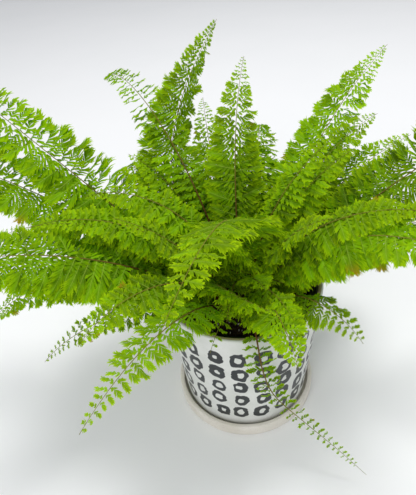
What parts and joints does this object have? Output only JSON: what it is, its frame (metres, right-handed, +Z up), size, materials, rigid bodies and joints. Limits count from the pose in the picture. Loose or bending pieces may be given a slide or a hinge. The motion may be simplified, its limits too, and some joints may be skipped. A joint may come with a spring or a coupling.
{
  "type": "potted fern",
  "caption": "Boston fern with arching, ruffled feather fronds in a tapered glazed pot painted with dark rings, on a low saucer.",
  "frame": {"origin": "centre of the saucer's flat underside, on the pot's axis", "axes": "+Z up along the pot's axis; the side with the stem that hangs down the pot faces -Y"},
  "size_m": [0.6057, 0.3917, 0.3551],
  "materials": {
    "glaze": "satin off-white glaze with hand-painted charcoal rings",
    "stoneware": "matte cream stoneware",
    "black_plastic": "thin moulded black plastic",
    "soil": "damp peaty compost",
    "rhizome": "brown scaly rhizome",
    "leaf": "soft yellow-green leaf, translucent"
  },
  "bodies": {
    "root": {"ceramic_pot": "glaze", "frond_01": "leaf", "frond_02": "leaf", "frond_03": "leaf", "frond_04": "leaf", "frond_05": "leaf", "frond_06": "leaf", "frond_07": "leaf", "frond_08": "leaf", "frond_09": "leaf", "frond_10": "leaf", "frond_11": "leaf", "frond_12": "leaf", "frond_13": "leaf", "frond_14": "leaf", "frond_15": "leaf", "frond_16": "leaf", "frond_17": "leaf", "frond_18": "leaf", "frond_19": "leaf", "frond_20": "leaf", "frond_21": "leaf", "frond_22": "leaf", "frond_23": "leaf", "frond_24": "leaf", "frond_25": "leaf", "frond_26": "leaf", "frond_27": "leaf", "frond_28": "leaf", "frond_29": "leaf", "frond_30": "leaf", "frond_31": "leaf", "frond_32": "leaf", "frond_33": "leaf", "frond_34": "leaf", "frond_35": "leaf", "frond_36": "leaf", "frond_37": "leaf", "frond_38": "leaf", "frond_39": "leaf", "frond_40": "leaf", "frond_41": "leaf", "frond_42": "leaf", "frond_43": "leaf", "frond_44": "leaf", "frond_45": "leaf", "frond_46": "leaf", "frond_47": "leaf", "frond_48": "leaf", "frond_49": "leaf", "frond_50": "leaf", "frond_51": "leaf", "frond_52": "leaf", "frond_53": "leaf", "nursery_pot": "black_plastic", "potting_soil": "soil", "rhizome_crown": "rhizome", "saucer": "stoneware"}
  },
  "joints": []
}
